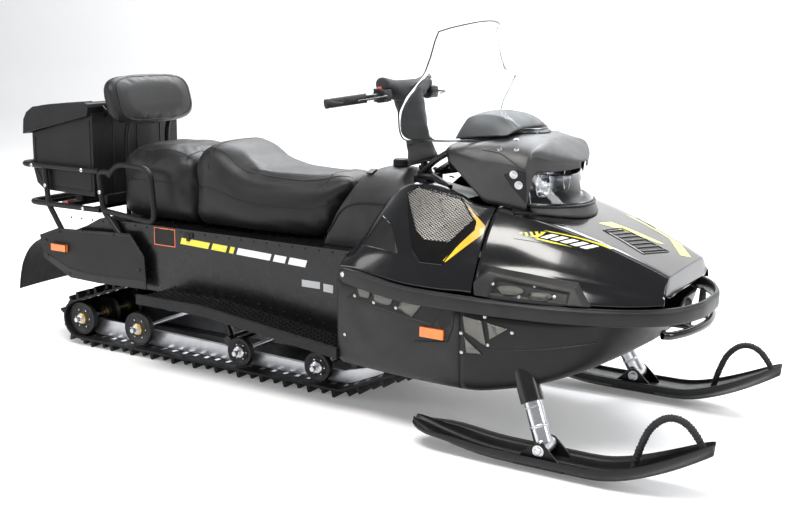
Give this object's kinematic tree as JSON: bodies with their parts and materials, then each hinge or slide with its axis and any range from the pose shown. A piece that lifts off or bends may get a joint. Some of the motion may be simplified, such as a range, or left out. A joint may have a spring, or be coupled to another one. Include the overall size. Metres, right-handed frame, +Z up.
{
  "type": "utility snowmobile",
  "caption": "Two-seat utility snowmobile with steered front skis, rubber drive track, tilting hood with tall windshield, padded seats, backrest and rear cargo box.",
  "frame": {"origin": "middle of the whole machine's outline, on the floor under the skis and track", "axes": "+X forward along the machine, +Y to the rider's left, +Z up"},
  "size_m": [3.236, 1.11, 1.456],
  "materials": {
    "gloss_black": "gloss",
    "satin_black": "satin",
    "grey_plastic": "matte",
    "black_metal": "satin",
    "rail_metal": "satin",
    "leg_metal": "bright",
    "track_rubber": "matte",
    "wheel_rubber": "satin",
    "strip_rubber": "satin",
    "grip_rubber": "matte",
    "seat_cover": "satin",
    "grey_fabric": "matte",
    "shock_yellow": "satin",
    "engine_metal": "matte",
    "amber_lens": "gloss",
    "red_lens": "gloss",
    "clear_screen": "clear",
    "clear_lens": "clear"
  },
  "bodies": {
    "chassis": {"tunnel": "black_metal", "running_boards": "black_metal", "rear_skirts": "satin_black", "snow_flap": "track_rubber", "side_covers": "grey_plastic", "belly_pan": "grey_plastic", "bumper_strip": "strip_rubber", "front_bumper": "black_metal", "side_panel_right": "gloss_black", "side_panel_left": "gloss_black", "engine": "engine_metal", "console": "grey_plastic", "fuel_cap": "satin_black", "steering_frame": "black_metal", "strut_tubes": "black_metal", "track": "track_rubber", "slide_rails": "rail_metal", "drive_axle": "engine_metal", "idler_wheels": "wheel_rubber", "rail_wheels": "wheel_rubber", "skid_arms": "black_metal", "skid_shocks": "shock_yellow", "driver_seat": "seat_cover", "passenger_seat": "seat_cover", "backrest": "seat_cover", "rear_rack": "black_metal", "cargo_box": "satin_black", "tow_hitch": "black_metal", "tail_light": "red_lens", "side_reflectors": "amber_lens"},
    "hood": {"hood": "gloss_black", "hood_scoops": "satin_black", "headlight_pod": "grey_plastic", "headlight_lens": "clear_lens", "windshield": "clear_screen", "dash_cover": "grey_fabric"},
    "steering": {"handlebar": "black_metal", "grips": "grip_rubber", "bar_controls": "satin_black", "column_cover": "grey_fabric"},
    "ski_leg_right": {"ski_leg_right": "leg_metal"},
    "ski_leg_left": {"ski_leg_left": "leg_metal"},
    "ski_right": {"ski_right": "satin_black"},
    "ski_left": {"ski_left": "satin_black"},
    "cargo_lid": {"cargo_lid": "satin_black"}
  },
  "joints": [
    {"name": "steering_turn", "type": "hinge", "parent": "chassis", "child": "steering", "pos_m": [0.245, 0, 1.185], "axis": [-0.2924, 0, 0.9563], "range_deg": [-35, 35]},
    {"name": "ski_steer_left", "type": "hinge", "parent": "chassis", "child": "ski_leg_left", "pos_m": [1.062, 0.48, 0.082], "axis": [-0.4192, -0.2273, 0.879], "range_deg": [-30, 30]},
    {"name": "ski_steer_right", "type": "hinge", "parent": "chassis", "child": "ski_leg_right", "pos_m": [1.062, -0.48, 0.082], "axis": [-0.4192, 0.2273, 0.879], "range_deg": [-30, 30]},
    {"name": "ski_rock_left", "type": "hinge", "parent": "ski_leg_left", "child": "ski_left", "pos_m": [1.062, 0.48, 0.082], "axis": [0, 1, 0], "range_deg": [-8, 8]},
    {"name": "ski_rock_right", "type": "hinge", "parent": "ski_leg_right", "child": "ski_right", "pos_m": [1.062, -0.48, 0.082], "axis": [0, 1, 0], "range_deg": [-8, 8]},
    {"name": "hood_tilt", "type": "hinge", "parent": "chassis", "child": "hood", "pos_m": [1.4, 0, 0.545], "axis": [0, 1, 0], "range_deg": [0, 55]},
    {"name": "cargo_lid_hinge", "type": "hinge", "parent": "chassis", "child": "cargo_lid", "pos_m": [-1.12, 0, 1.052], "axis": [0, 1, 0], "range_deg": [0, 55]}
  ],
  "couplings": [
    {"joint": "ski_steer_left", "follows": "steering_turn", "ratio": 0.8},
    {"joint": "ski_steer_right", "follows": "steering_turn", "ratio": 0.8}
  ]
}
